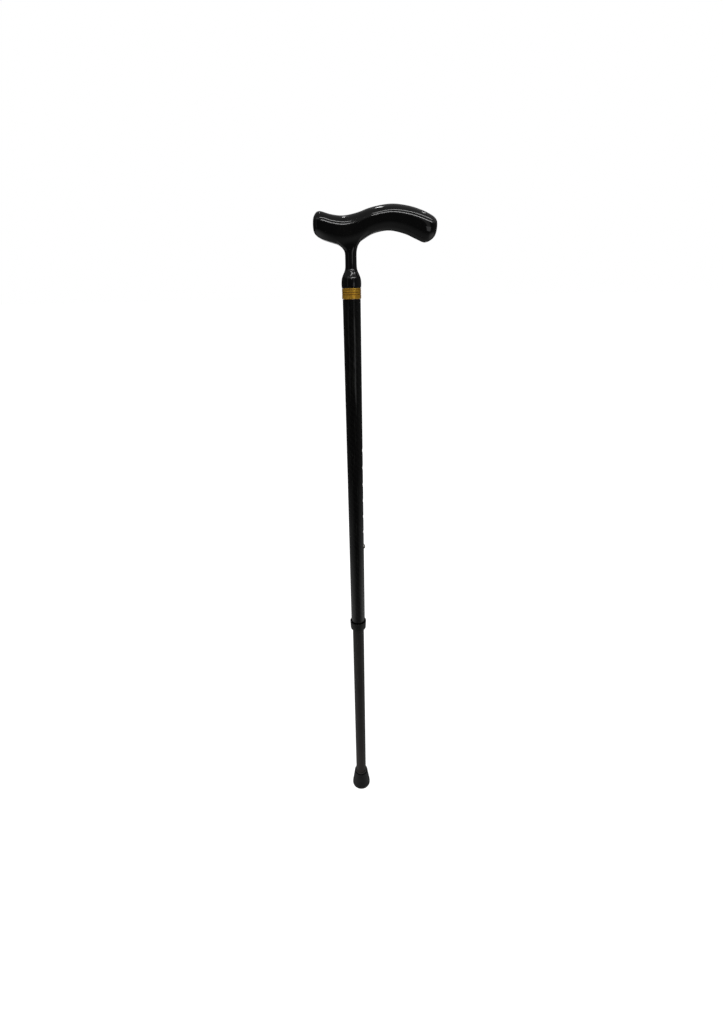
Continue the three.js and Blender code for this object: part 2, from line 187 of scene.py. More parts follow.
def bored_tube(name, outer, bore, low, high, holes, edge=0.3, cells=8, rest=60):
    """A tube with rounded ends, and round holes through its +X wall, all in clean quads.

    The square patch round a hole is cells quads wide, and the rest of the ring is rest + 1.
    """
    reach = PATCH_REACH * HOLE_RADIUS
    spread = [reach * (2 * k / cells - 1) for k in range(cells + 1)]
    heights = {low + edge, high - edge}
    heights.update(hole + s for hole in holes for s in spread)
    heights = sorted(heights)
    verts, faces, rows = [], [], []

    def row(radius, height, wall):
        """A ring of vertices. Its patch columns stay straight where the radius is the wall's."""
        front = [math.asin(y / wall) for y in spread]
        gap = (FULL_TURN - 2 * front[-1]) / (rest + 1)
        turns = front + [front[-1] + gap * (k + 1) for k in range(rest)]
        rows.append(list(range(len(verts), len(verts) + len(turns))))
        verts.extend((radius * math.cos(a), radius * math.sin(a), height) for a in turns)

    def ease(wall, side, end, lift):
        """The rounded edge between a wall and an end of the tube.

        side is +1 on the outer wall and -1 in the bore. lift is +1 at the lower end, else -1.
        """
        for step in range(1, EDGE_STEPS):
            share = step / EDGE_STEPS
            a = math.pi / 2 * (share if side * lift < 0 else 1 - share)
            inset, rise = edge * (1 - math.cos(a)), edge * (1 - math.sin(a))
            row(wall - side * inset, end + lift * rise, wall)

    for height in heights:
        row(outer, height, outer)
    ease(outer, 1, high, -1)
    row(outer - edge, high, outer)
    row(bore + edge, high, bore)
    ease(bore, -1, high, -1)
    first_inside = len(rows)
    for height in heights[::-1]:
        row(bore, height, bore)
    ease(bore, -1, low, 1)
    row(bore + edge, low, bore)
    row(outer - edge, low, outer)
    ease(outer, 1, low, 1)

    taken = set()
    for hole in holes:
        bottom = min(range(len(heights)), key=lambda k: abs(heights[k] - (hole - reach)))
        inside = first_inside + len(heights) - 1 - bottom - cells
        outer_patch = rows[bottom:bottom + cells + 1]
        inner_patch = rows[inside:inside + cells + 1][::-1]
        for start in (bottom, inside):
            taken.update((start + i, j) for i in range(cells) for j in range(cells))
        ends = []
        for patch, wall, rim in (outer_patch, outer, OUTER_RIM), (inner_patch, bore, INNER_RIM):
            square = patch[0][:cells] + [line[cells] for line in patch[:cells]]
            square += patch[cells][cells:0:-1] + [line[0] for line in patch[:0:-1]]
            loop = square
            for share, depth, extra in PATCH + rim:
                inner = []
                for v in square:
                    far = Vector((verts[v][1], verts[v][2] - hole))
                    y, z = far.lerp(far.normalized() * (HOLE_RADIUS + extra), share)
                    inner.append(len(verts))
                    verts.append((math.sqrt(wall ** 2 - y ** 2) - depth, y, hole + z))
                faces.extend(bridge(loop, inner))
                loop = inner
            ends.append(loop)
        faces.extend(bridge(*ends))
    for k, line in enumerate(rows):
        quads = bridge(line, rows[(k + 1) % len(rows)])
        faces.extend(quad for j, quad in enumerate(quads) if (k, j) not in taken)
    return shade(make_object(name, verts, faces), 50)


# ------------------------------------------------------------ material helpers
class Look:
    """One material round a Principled shader. The helpers add nodes and return their outputs."""

    def __init__(self, name, constants):
        self.material = bpy.data.materials.new(name)
        self.material.use_nodes = True
        self.tree = self.material.node_tree
        self.shader = self.tree.nodes["Principled BSDF"]
        self.place = self.tree.nodes.new("ShaderNodeTexCoord").outputs["Object"]
        for socket, value in constants.items():
            self.shader.inputs[socket].default_value = value

    def set(self, socket, value):
        self.tree.links.new(value, self.shader.inputs[socket])

    def node(self, kind, inputs, output=0, **settings):
        node = self.tree.nodes.new("ShaderNode" + kind)
        for key, value in settings.items():
            setattr(node, key, value)
        for key, value in inputs.items():
            if isinstance(value, bpy.types.NodeSocket):
                self.tree.links.new(value, node.inputs[key])
            elif value is not None:
                node.inputs[key].default_value = value
        return node.outputs[output]

    def math(self, operation, a, b=None):
        return self.node("Math", {0: a, 1: b}, operation=operation)

    def add(self, a, b):
        return self.math("ADD", a, b)

    def times(self, a, b):
        return self.math("MULTIPLY", a, b)

    def inverse(self, value):
        """One minus the value."""
        return self.math("SUBTRACT", 1.0, value)

    def point(self, x, y, z):
        return self.node("CombineXYZ", {0: x, 1: y, 2: z})

    def xyz(self):
        split = self.tree.nodes.new("ShaderNodeSeparateXYZ")
        self.tree.links.new(self.place, split.inputs[0])
        return split.outputs

    def radial(self):
        """Distance from the shaft's axis, in metres."""
        x, y, _ = self.xyz()
        return self.math("SQRT", self.add(self.times(x, x), self.times(y, y)))

    def noise(self, scale, detail=3.0, roughness=0.5, vector=None):
        vector = vector or self.place
        inputs = {"Vector": vector, "Scale": scale, "Detail": detail, "Roughness": roughness}
        return self.node("TexNoise", inputs)

    def stretched(self, factors):
        return self.node("VectorMath", {0: self.place, 1: factors}, operation="MULTIPLY")

    def span(self, value, low, high, to_low=0.0, to_high=1.0):
        """Maps a value from one range to another, clamped."""
        inputs = {
            "Value": value, "From Min": low, "From Max": high, "To Min": to_low, "To Max": to_high,
        }
        return self.node("MapRange", inputs)

    def blend(self, factor, first, second):
        """Mixes two colours, each a socket or (r, g, b)."""
        first, second = [(*c, 1) if isinstance(c, tuple) else c for c in (first, second)]
        return self.node("Mix", {0: factor, 6: first, 7: second}, output=2, data_type="RGBA")

    def choose(self, factor, first, second):
        """Mixes two values."""
        return self.node("Mix", {0: factor, 2: first, 3: second})

    def bump(self, height, distance, strength, under=None):
        """Raises the surface by a height texture, on top of another bump if there is one."""
        inputs = {"Height": height, "Distance": distance, "Strength": strength, "Normal": under}
        return self.node("Bump", inputs)


def gloss_black():
    """Thick black lacquer: slow ripple, faint polishing haze and a little dust."""
    look = Look("gloss_black_lacquer", {"IOR": 1.5, "Coat Weight": 0.5, "Coat Roughness": 0.04})
    lacquer, thin_lacquer = (0.0005, 0.0005, 0.0006), (0.0012, 0.0012, 0.0011)
    dust_grey = (0.02, 0.02, 0.019)
    smudge = look.noise(55, 4, 0.6)
    haze = look.noise(900, 2, 0.7)
    dust = look.span(look.noise(2600, 2, 0.5), 0.7, 0.78)
    colour = look.blend(look.span(smudge, 0.35, 0.7), lacquer, thin_lacquer)
    look.set("Base Color", look.blend(look.times(dust, 0.3), colour, dust_grey))
    smudged = look.span(smudge, 0.3, 0.75, 0.07, 0.13)
    hazy = look.span(haze, 0.5, 0.75, 0, 0.04)
    look.set("Roughness", look.add(look.add(smudged, hazy), look.times(dust, 0.2)))
    ripple = look.noise(38, 2, 0.4)
    look.set("Normal", look.bump(ripple, 0.0005, 0.1, look.bump(haze, 0.00002, 0.1)))
    return look.material


def antique_brass():
    """Lathe-turned brass: fine rings, darker brown and rougher in the grooves, and slow patina."""
    look = Look("antique_brass", {"Metallic": 0.9, "Anisotropic": 0.7, "Specular IOR Level": 0.3})
    brass, bright_brass, turned_brass = (0.95, 0.48, 0.045), (1.0, 0.57, 0.062), (1.0, 0.69, 0.17)
    fleck_brown, groove_brown = (0.50, 0.26, 0.02), (0.36, 0.16, 0.012)
    height = look.xyz()[2]
    turning = look.noise(1, 2, 0.5, look.point(0.0, 0.0, look.times(height, 1900)))
    patina = look.noise(110, 3, 0.55)
    fleck = look.noise(700, 2, 0.5)
    deep = look.span(look.radial(), (BAND_RADIUS - 0.25) * MM, (BAND_RADIUS - 0.04) * MM, 1, 0)
    body = look.blend(look.span(patina, 0.35, 0.7), brass, bright_brass)
    body = look.blend(look.span(fleck, 0.62, 0.8, 0, 0.06), body, fleck_brown)
    body = look.blend(look.span(turning, 0.45, 0.65, 0, 0.45), body, turned_brass)
    look.set("Base Color", look.blend(deep, body, groove_brown))
    rough = look.span(patina, 0.3, 0.7, 0.27, 0.32)
    look.set("Roughness", look.add(rough, look.times(deep, 0.25)))
    look.set("Normal", look.bump(turning, 0.00001, 0.2))
    return look.material


TOW_WIDTH = 2.2
TOWS_ROUND = round(FULL_TURN * UPPER_RADIUS / TOW_WIDTH / 4) * 4  # the pattern repeats every four


def carbon_twill():
    """Two-by-two carbon twill under clear coat. Warp tows run up the tube, weft tows round it."""
    look = Look("carbon_twill", {
        "Metallic": 0.9, "Anisotropic": 0.6, "Specular IOR Level": 0.2,
        "Coat Weight": 1.0, "Coat Roughness": 0.08,
    })
    weft_grey, warp_grey = (0.0085, 0.0086, 0.0080), (0.0012, 0.0012, 0.0012)
    fibre_grey, painted_reflection_grey = (0.0120, 0.0121, 0.0112), (0.026, 0.0265, 0.024)
    gap_black = (0.0010, 0.0010, 0.0010)
    x, y, z = look.xyz()
    across = look.times(look.math("ARCTAN2", y, x), TOWS_ROUND / FULL_TURN)
    up = look.times(z, 1 / (TOW_WIDTH * MM))
    cell = look.add(look.math("FLOOR", across), look.math("FLOOR", up))
    warp = look.math("LESS_THAN", look.math("FLOORED_MODULO", cell, 4.0), 1.5)

    def crown(along):
        """A tow's rounded section: 0 at its edges and 1 in its middle."""
        centred = look.math("SUBTRACT", look.times(look.math("FRACT", along), 2.0), 1.0)
        return look.inverse(look.math("POWER", look.math("ABSOLUTE", centred), 2.5))

    def drawn_out(times_across, times_up, seed):
        """Noise drawn out along one direction of the tube."""
        place = look.point(look.times(across, times_across), look.times(up, times_up), seed)
        return look.noise(1, 2, 0.6, place)

    crowns = look.choose(warp, crown(up), crown(across))
    fibres = look.choose(warp, drawn_out(0.5, 16, 7.0), drawn_out(16, 0.5, 3.0))
    streaks = drawn_out(1.1, 0.06, 11.0)
    tone = look.blend(warp, weft_grey, warp_grey)
    tone = look.blend(look.span(fibres, 0.3, 0.75, 0, 0.5), tone, fibre_grey)
    # painted reflection: the long vertical streaks are painted lighter grey, as painted reflections
    # of strip lights; the same streaks also ripple the coat
    tone = look.blend(look.span(streaks, 0.55, 0.66, 0, 0.7), tone, painted_reflection_grey)
    look.set("Base Color", look.blend(look.span(crowns, 0, 0.5, 0.8, 0), tone, gap_black))
    look.set("Roughness", look.span(fibres, 0.3, 0.7, 0.28, 0.42))
    look.set("Normal", look.bump(crowns, 0.00012, 0.5, look.bump(fibres, 0.00002, 0.4)))
    ripple = look.bump(look.noise(70, 2, 0.5), 0.0004, 0.05)
    look.set("Coat Normal", look.bump(streaks, 0.0004, 0.3, ripple))
    round_the_tube = look.point(look.times(y, -1.0), x, 0.0)
    directions = {0: warp, 4: round_the_tube, 5: (0, 0, 1)}
    along = look.node("Mix", directions, output=1, data_type="VECTOR")
    look.set("Tangent", look.node("VectorMath", {0: along}, operation="NORMALIZE"))
    return look.material


def dark_anodised():
    """Drawn aluminium, anodised dark grey: fine lines, rub marks, speckle, and dust low down."""
    look = Look("dark_anodised_aluminium", {"IOR": 1.5, "Metallic": 0.25})
    dark_grey, grey = (0.0052, 0.0047, 0.0044), (0.0078, 0.0071, 0.0067)
    line_grey, rub_grey = (0.015, 0.0138, 0.013), (0.034, 0.032, 0.030)
    dust_grey = (0.0125, 0.0106, 0.0098)
    drawn = look.noise(1600, 3, 0.6, look.stretched((1, 1, 0.012)))
    rub = look.noise(420, 4, 0.7, look.stretched((1, 1, 0.05)))
    speckle = look.noise(5200, 2, 0.5)
    cloud = look.noise(26, 3, 0.5)
    low_down = look.span(look.xyz()[2], 55 * MM, 130 * MM, 1, 0)
    dust = look.times(low_down, look.span(cloud, 0.2, 0.6, 0.6, 1))
    base = look.blend(look.span(cloud, 0.3, 0.7), dark_grey, grey)
    base = look.blend(look.span(drawn, 0.45, 0.7, 0, 0.5), base, line_grey)
    base = look.blend(look.span(rub, 0.66, 0.78, 0, 0.5), base, rub_grey)
    look.set("Base Color", look.blend(dust, base, dust_grey))
    lined = look.span(drawn, 0.3, 0.7, 0.36, 0.47)
    look.set("Roughness", look.add(lined, look.span(speckle, 0.4, 0.7, 0, 0.06)))
    look.set("Normal", look.bump(drawn, 0.00003, 0.35, look.bump(speckle, 0.00001, 0.3)))
    return look.material


def moulded_black():
    """Satin black nylon with a fine spark-eroded grain and slow flow marks."""
    look = Look("moulded_black_nylon", {"IOR": 1.55})
    black, flow_black = (0.0012, 0.0013, 0.0010), (0.0026, 0.0027, 0.0022)
    grain = look.noise(3400, 4, 0.6)
    flow = look.noise(120, 3, 0.5)
    look.set("Base Color", look.blend(look.span(flow, 0.3, 0.7), black, flow_black))
    rough = look.span(flow, 0.3, 0.7, 0.34, 0.44)
    look.set("Roughness", look.add(rough, look.span(grain, 0.4, 0.7, 0, 0.08)))
    look.set("Normal", look.bump(grain, 0.00004, 0.4))
    return look.material


def natural_nylon():
    """Milky undyed nylon, slightly translucent."""
    look = Look("natural_nylon", {"IOR": 1.5, "Subsurface Weight": 0.15, "Subsurface Scale": 0.002})
    milky, pale = (0.55, 0.52, 0.43), (0.63, 0.6, 0.51)
    grain = look.noise(3000, 3, 0.6)
    flow = look.noise(160, 3, 0.5)
    look.set("Base Color", look.blend(look.span(flow, 0.3, 0.7), milky, pale))
    look.set("Roughness", look.span(grain, 0.3, 0.7, 0.42, 0.55))
    look.set("Normal", look.bump(grain, 0.00003, 0.3))
    return look.material


def matt_rubber():
    """Black rubber: fine grain, slow bloom, dust near the ground, and painted shade on the top of
    the mouth.

    Only its thin inner lip is painted lighter grey, as painted light on a face turned up.
    """
    look = Look("matt_rubber", {"IOR": 1.5})
    black, bloom_black = (0.0026, 0.0026, 0.0026), (0.0045, 0.0044, 0.0044)
    painted_shade_black, painted_light_grey = (0.0006, 0.0006, 0.0006), (0.030, 0.029, 0.028)
    dust_grey, grain_grey = (0.045, 0.042, 0.038), (0.010, 0.0098, 0.0098)
    height = look.xyz()[2]
    grain = look.noise(2300, 4, 0.65)
    bloom = look.noise(95, 4, 0.6)
    dust = look.times(look.span(height, 0, 5 * MM, 0.5, 0), look.span(bloom, 0.4, 0.65))
    # painted shade: the top 1.2 mm of the mouth is painted near-black and given less specular,
    # standing in for the shadow there
    mouth = look.span(height, (TIP_HIGH - 1.7) * MM, (TIP_HIGH - 1.2) * MM)
    inward = look.span(look.radial(), (TIP_LIP - 0.1) * MM, (TIP_LIP + 0.1) * MM, 1, 0)
    lip = look.times(mouth, inward)
    base = look.blend(look.span(bloom, 0.3, 0.7), black, bloom_black)
    base = look.blend(dust, base, dust_grey)
    base = look.blend(mouth, base, painted_shade_black)
    # painted light: the inner lip's upward face is painted lighter grey, where light falls on it
    base = look.blend(lip, base, painted_light_grey)
    look.set("Base Color", look.blend(look.span(grain, 0.6, 0.75, 0, 0.4), base, grain_grey))
    shadowed = look.times(mouth, look.inverse(lip))
    look.set("Specular IOR Level", look.choose(shadowed, 0.5, 0.08))
    look.set("Roughness", look.span(bloom, 0.3, 0.7, 0.45, 0.58))
    look.set("Normal", look.bump(grain, 0.00006, 0.5))
    return look.material


def bare_metal(name, light, dark, rough, along=(1, 1, 1)):
    """Polished or brushed metal with streaks along an axis and a few darker stains."""
    look = Look(name, {"Metallic": 1.0})
    streak = look.noise(1800, 3, 0.6, look.stretched(along))
    stain = look.noise(300, 4, 0.6)
    colour = look.blend(look.span(stain, 0.45, 0.75, 0, 0.7), light, dark)
    look.set("Base Color", look.blend(look.span(streak, 0.5, 0.75, 0, 0.3), colour, dark))
    look.set("Roughness", look.span(streak, 0.3, 0.7, rough * 0.8, rough * 1.4))
    look.set("Normal", look.bump(streak, 0.00002, 0.25))
    return look.material


def pale_floor():
    """Plain white floor, partly lit from within so that it stays even out to the horizon."""
    look = Look("pale_floor", {
        "Specular IOR Level": 0.0, "Roughness": 0.9,
        "Emission Color": (1, 1, 1, 1), "Emission Strength": 0.95,
    })
    cloud = look.noise(1.2, 3, 0.5)
    look.set("Base Color", look.blend(cloud, (0.20, 0.20, 0.20), (0.21, 0.21, 0.21)))
    return look.material


# ------------------------------------------------------------ handle
# The grip's top and underside seen from the side, as (x, z) points paired from nose to tail, and
# half its width at each pair.
TOP_RAIL = [
    (-42.8, 960.5), (-41.4, 968.6), (-35.5, 974), (-22, 970.7), (-8, 969.2), (8, 971.8),
    (24, 976.6), (46, 979.6), (66, 977.4), (82, 972.8), (93.5, 967.6), (98.6, 963), (99.9, 956.9),
]
UNDER_RAIL = [
    (-42.8, 960.5), (-41.6, 952.3), (-35, 946.6), (-22.5, 942.2), (-7, 939), (10.5, 942.8),
    (25.5, 950.3), (44, 953.5), (62.5, 949.9), (75.8, 944.4), (87.2, 940.5), (97.1, 946.2),
    (99.9, 956.9),
]
HALF_WIDTHS = [0, 8.5, 11.6, 12.2, 12.4, 12.8, 13.6, 14.2, 14.2, 13.8, 12.6, 8.8, 0]
SQUARENESS = 2.3  # of the grip's section: 2 is an ellipse
SIDES = 32  # of the grip's cage
QUARTER = SIDES // 4
OPENING = (3.42, 5.17)  # where the neck leaves the grip, in points along the rails
RINGS_BEFORE, RINGS_AFTER = 12, 36  # the cage's rings on either side of the opening's first one
BAND_TOP = BAND_HIGH + 0.02  # the lowest the bell comes
NECK_PROFILE = [  # (height, radius) down from the fillets, over the bell, and up the stud's bore
    (930, 6.8), (926, 6.8), (921, 6.8), (917.6, 6.88), (915.2, 7.1), (913.2, 7.6), (911.2, 8.5),
    (909.3, 9.5), (907.4, 10.4), (905.6, 11.1), (903.6, 11.65), (901, 11.95), (898.4, 12.03),
    (896.4, 11.93), (895, 11.75), (894.5, 11.55), (BAND_HIGH + 0.3, 11.25),
    (BAND_HIGH + 0.3, 10.95), (BAND_HIGH + 0.2, 10.8), (BAND_HIGH + 0.05, 10.75),
    (BAND_TOP, 10.5), (BAND_TOP, 4.6), (894.6, 4.35), (896, 4.3), (925, 4.3), (957, 4.3),
]
NECK_START = math.radians(225)  # the turn about the neck where the opening's rim starts
FILLET_STEPS = 7
FILLET_LEAVE, FILLET_ARRIVE = 0.9, 1.1  # pull at the grip's end and at the neck's


def spline(points, at):
    """Uniform Catmull-Rom curve through the points; at counts in points."""
    points = np.array(points, float)
    last = len(points) - 1
    k = min(int(at), last - 1)
    t = at - k
    p0, p1, p2, p3 = points[max(k - 1, 0)], points[k], points[k + 1], points[min(k + 2, last)]
    v1, v2 = (p2 - p0) / 2, (p3 - p1) / 2
    cubic, square = 2 * p1 - 2 * p2 + v1 + v2, 3 * p2 - 3 * p1 - 2 * v1 - v2
    return cubic * t ** 3 + square * t ** 2 + v1 * t + p1


def hermite(start, leave, end, arrive, t):
    """A point of the cubic curve with these ends and these tangents at them."""
    point = (2 * t ** 3 - 3 * t ** 2 + 1) * start + (t ** 3 - 2 * t ** 2 + t) * leave
    point += (-2 * t ** 3 + 3 * t ** 2) * end + (t ** 3 - t ** 2) * arrive
    return point


def grip_point(at, angle):
    """A point of the grip's skin. An angle of 90 degrees is its top."""
    def squared(value):
        return math.copysign(abs(value) ** (2 / SQUARENESS), value)

    crown, belly = spline(TOP_RAIL, at), spline(UNDER_RAIL, at)
    x, z = belly + (crown - belly) * (squared(math.sin(angle)) + 1) / 2
    half = spline([(width, 0) for width in HALF_WIDTHS], at)[0]
    return Vector((x, half * squared(math.cos(angle)), z))


def build_handle():
    """Grip, fillets, neck and bell as one cage of quads, smoothed by subdivision."""
    verts, faces = [], []

    def add(point):
        verts.append(Vector(point))
        return len(verts) - 1

    step = (OPENING[1] - OPENING[0]) / QUARTER
    stations = [OPENING[0] + k * step for k in range(-RINGS_BEFORE, RINGS_AFTER + 1)]
    left = RINGS_BEFORE
    right = left + QUARTER
    bottom = 3 * QUARTER  # the first side of the grip's underside
    angles = [FULL_TURN * k / SIDES - math.pi / 4 for k in range(SIDES)]
    rings = [[add(grip_point(at, angle)) for angle in angles] for at in stations]
    for k, (low, high) in enumerate(zip(rings, rings[1:])):
        sides = bridge(low, high)
        faces.extend(sides[:bottom] if left <= k < right else sides)

    def cap(end, at, ring):
        """Closes an end with a square grid of quads whose rim is the ring."""
        grid = {}
        for i in range(QUARTER + 1):
            for j in range(QUARTER + 1):
                u, v = 2 * i / QUARTER - 1, 2 * j / QUARTER - 1
                size = max(abs(u), abs(v))
                if size == 0:
                    grid[i, j] = add((TOP_RAIL[end][0], 0, TOP_RAIL[end][1]))
                    continue
                if abs(u) >= abs(v):
                    angle = math.pi / 4 * v / u + (0 if u > 0 else math.pi)
                else:
                    angle = math.pi / 2 - math.pi / 4 * u / v + (0 if v > 0 else math.pi)
                if size == 1:
                    grid[i, j] = ring[round((angle + math.pi / 4) / FULL_TURN * SIDES) % SIDES]
                else:
                    grid[i, j] = add(grip_point(end + (at - end) * size, angle))
        for i in range(QUARTER):
            for j in range(QUARTER):
                faces.append((grid[i, j], grid[i + 1, j], grid[i + 1, j + 1], grid[i, j + 1]))

    cap(0, stations[0], rings[0])
    cap(len(TOP_RAIL) - 1, stations[-1], rings[-1])

    # the opening's rim in order round the neck, each point with its neighbour on the skin outside
    rim = [(rings[left][bottom], rings[left - 1][bottom - 1])]
    rim += [(rings[left][s], rings[left - 1][s]) for s in range(bottom + 1, SIDES)]
    rim += [(rings[left][0], rings[left - 1][1])]
    rim += [(rings[k][0], rings[k][1]) for k in range(left + 1, right)]
    rim += [(rings[right][0], rings[right + 1][1])]
    rim += [(rings[right][s], rings[right + 1][s]) for s in range(SIDES - 1, bottom, -1)]
    rim += [(rings[right][bottom], rings[right + 1][bottom - 1])]
    rim += [(rings[k][bottom], rings[k][bottom - 1]) for k in range(right - 1, left, -1)]

    turns = [NECK_START - FULL_TURN * k / len(rim) for k in range(len(rim))]
    height, radius = NECK_PROFILE[0]
    loops = [[inner for inner, outer in rim]] + [[] for _ in range(FILLET_STEPS)]
    for (inner, outer), angle in zip(rim, turns):
        start = verts[inner]
        end = Vector((radius * math.cos(angle), radius * math.sin(angle), height))
        reach = (end - start).length
        leave = (start - verts[outer]).normalized() * reach * FILLET_LEAVE
        arrive = Vector((0, 0, -1)) * reach * FILLET_ARRIVE
        for number in range(1, FILLET_STEPS + 1):
            t = number / (FILLET_STEPS + 1)
            loops[number].append(add(hermite(start, leave, end, arrive, t)))
    for height, radius in NECK_PROFILE:
        loops.append([add((radius * math.cos(a), radius * math.sin(a), height)) for a in turns])
    for low, high in zip(loops, loops[1:]):
        faces.extend(bridge(low, high))
    faces.append(loops[-1])

    handle = make_object("handle", verts, faces)
    for face in handle.data.polygons:
        face.use_smooth = True
    soften = handle.modifiers.new("soften", "SUBSURF")
    soften.levels = soften.render_levels = 2
    bake_modifiers(handle)
    return handle


# ------------------------------------------------------------ turned pieces and the spring
GROOVE_HEIGHTS = (887.1, 889.6, 892.3)
GROOVE = [  # one groove's corners: height past its middle, depth, corner radius
    (-0.45, 0, 0.15), (-0.15, 0.45, 0.2), (0.15, 0.45, 0.2), (0.45, 0, 0.15),
]


def build_band():
    """The brass ferrule, with round-bottomed grooves and rolled edges."""
    profile, soft = [[UPPER_BORE, BAND_LOW], [BAND_RADIUS, BAND_LOW]], {1: 0.35}
    for height in GROOVE_HEIGHTS:
        for offset, depth, corner in GROOVE:
            soft[len(profile)] = corner
            profile.append([BAND_RADIUS - depth, height + offset])
    soft[len(profile)] = 0.35
    profile += [[BAND_RADIUS, BAND_HIGH], [UPPER_BORE, BAND_HIGH]]
    return turned("band", rounded(profile, soft))


def build_collar():
    """The lock nut: a slightly tapered skirt with rounded rims, over the sleeve's thread."""
    throat, lip = LOWER_RADIUS + 0.35, COLLAR_LOW + 1.4
    mouth, cone = SLEEVE_RADIUS + 0.15, SLEEVE_HIGH - 7.9
    profile = [
        [throat, COLLAR_LOW], [COLLAR_RADIUS - 0.65, COLLAR_LOW], [COLLAR_RADIUS, COLLAR_HIGH],
        [mouth, COLLAR_HIGH], [mouth, cone - 0.6], [11.5, cone - 0.8], [10.55, lip], [throat, lip],
    ]
    return turned("collar", rounded(profile, {0: 0.2, 1: 1.3, 2: 0.45, 3: 0.4}))


def build_tip():
    """The ferrule: a bell of rubber with a rolled foot, a lipped mouth and a grooved sole."""
    socket, grip, floor, tread, rim = LOWER_RADIUS + 0.1, LOWER_RADIUS - 0.05, 6.5, 1.2, 12.4
    shape = [(0, 0, 0)]  # radius, height, corner radius
    for radius in (6, 10.5):
        for across, depth in ((0, 0), (0.2, tread), (1.3, tread), (1.5, 0)):
            shape.append((radius + across, depth, 0.2))
    shape += [
        (TIP_RADIUS, 0, 0.25), (TIP_RADIUS, 3.6, 3), (TIP_RADIUS - 0.25, 6, 2),
        (TIP_RADIUS - 0.9, 9.5, 4), (rim, TIP_HIGH - 2, 1.2), (rim - 0.2, TIP_HIGH, 0.6),
        (TIP_LIP + 0.9, TIP_HIGH, 0.2), (TIP_LIP + 0.7, TIP_HIGH - 0.9, 0.15),
        (TIP_LIP + 0.1, TIP_HIGH - 0.9, 0.15), (TIP_LIP, TIP_HIGH, 0.2), (grip, TIP_HIGH, 0),
        (grip, TIP_HIGH - 0.5, 0), (socket, TIP_HIGH - 0.8, 0), (socket, floor, 0), (0, floor, 0),
    ]
    soft = {k: corner for k, (_, _, corner) in enumerate(shape)}
    return turned("tip", rounded([[r, z] for r, z, _ in shape], soft))


def build_button():
    """The snap button, turned about its own axis: dome, shank, flange and riveted tail."""
    rivet, flange, shank = 1.3, 4.2, BUTTON_RADIUS
    tail, back, dome = BUTTON_BOX[0].x, 5.8, BUTTON_REACH - 1.2
    profile = [
        [0, tail], [2, tail], [2.2, tail + 0.6], [rivet, tail + 0.6], [rivet, back],
        [flange, back], [flange, back + 0.7], [shank, back + 0.7], [shank, dome],
        [shank - 1, BUTTON_REACH - 0.25], [0, BUTTON_REACH],
    ]
    button = turned("button", rounded(profile, {1: 0.3, 5: 0.15, 6: 0.15, 8: 0.9, 9: 2}), 64)
    sideways = Matrix.Rotation(math.pi / 2, 4, "Y")
    button.data.transform(Matrix.Translation((0, 0, BUTTON_HEIGHT * MM)) @ sideways)
    return button


def build_spring():
    """The V-shaped leaf spring. Its front leaf carries the button, and its back leaf bears on
    the tube's far wall."""
    thickness, width, steps, near = 0.8, 6, 72, 0.01
    front, rear, top, fold = 5.1, -6.6, BUTTON_HEIGHT + 7, BUTTON_HEIGHT - 40
    middle = [
        (front, top), (front, BUTTON_HEIGHT), (front - 0.6, BUTTON_HEIGHT - 12), (2.4, fold + 8),
        (0.8, fold), (-0.8, fold), (-2.6, fold + 8), (rear, BUTTON_HEIGHT - 18),
        (rear, BUTTON_HEIGHT - 6), (rear, top),
    ]
    last = len(middle) - 1
    verts, sections = [], []
    for number in range(steps + 1):
        at = number / steps * last
        here = Vector(spline(middle, at))
        behind, ahead = spline(middle, max(at - near, 0)), spline(middle, min(at + near, last))
        along = Vector(ahead) - Vector(behind)
        out = Vector((-along.y, along.x)).normalized() * thickness / 2
        sections.append(list(range(len(verts), len(verts) + 4)))
        for side, edge in ((1, -1), (1, 1), (-1, 1), (-1, -1)):
            verts.append((here.x + side * out.x, edge * width / 2, here.y + side * out.y))
    faces = [quad for pair in zip(sections, sections[1:]) for quad in bridge(*pair)]
    faces += [sections[0], sections[-1]]
    spring = make_object("spring", verts, faces)
    ease = spring.modifiers.new("ease", "BEVEL")
    ease.width, ease.segments, ease.limit_method = 0.15 * MM, 2, "ANGLE"
    bake_modifiers(spring)
    return shade(spring)


# ------------------------------------------------------------ the object
black = gloss_black()
nylon = moulded_black()
milky = natural_nylon()
steel = bare_metal("turned_steel", (0.40, 0.40, 0.39), (0.24, 0.23, 0.22), 0.32, (1, 1, 0.05))
spring_steel = bare_metal(
    "spring_steel", (0.30, 0.31, 0.33), (0.17, 0.17, 0.18), 0.28, (1, 1, 0.05))
aluminium = bare_metal(
    "plain_aluminium", (0.62, 0.62, 0.62), (0.45, 0.45, 0.46), 0.3, (0.1, 0.1, 1))
nickel = bare_metal("polished_nickel", (0.60, 0.58, 0.54), (0.42, 0.40, 0.37), 0.12)

HOLES = [BUTTON_HEIGHT + k * HOLE_PITCH for k in range(HOLE_COUNT)]
UPPER_SHAPE = (UPPER_RADIUS, UPPER_BORE, UPPER_LOW, UPPER_HIGH, HOLES)
LOWER_SHAPE = (LOWER_RADIUS, LOWER_BORE, LOWER_LOW, LOWER_HIGH, HOLES[:1])
MADE = [  # the piece, its body, the CAD node it replaces, its material slot and its look
    (build_handle(), "shaft", "handle_grip", "grip", black),
    (build_band(), "shaft", "brass_band", "brass", antique_brass()),
    (bored_tube("carbon_shaft", *UPPER_SHAPE), "shaft",
     "upper_tube", "carbon_tube", carbon_twill()),
    (build_collar(), "collar", "lock_collar", "black_nylon", nylon),
    (bored_tube("extension_tube", *LOWER_SHAPE), "extension",
     "lower_tube", "dark_aluminium", dark_anodised()),
    (build_button(), "button", "snap_button", "chrome", nickel),
    (build_tip(), "extension", "rubber_tip", "rubber", matt_rubber()),
]
for piece, body, node, slot, look in MADE:
    piece.data.materials.clear()
    piece.data.materials.append(look)
    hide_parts(node)
    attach(piece, body)

spring = build_spring()
spring.data.materials.append(spring_steel)
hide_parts("spring_clip")
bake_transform(spring)

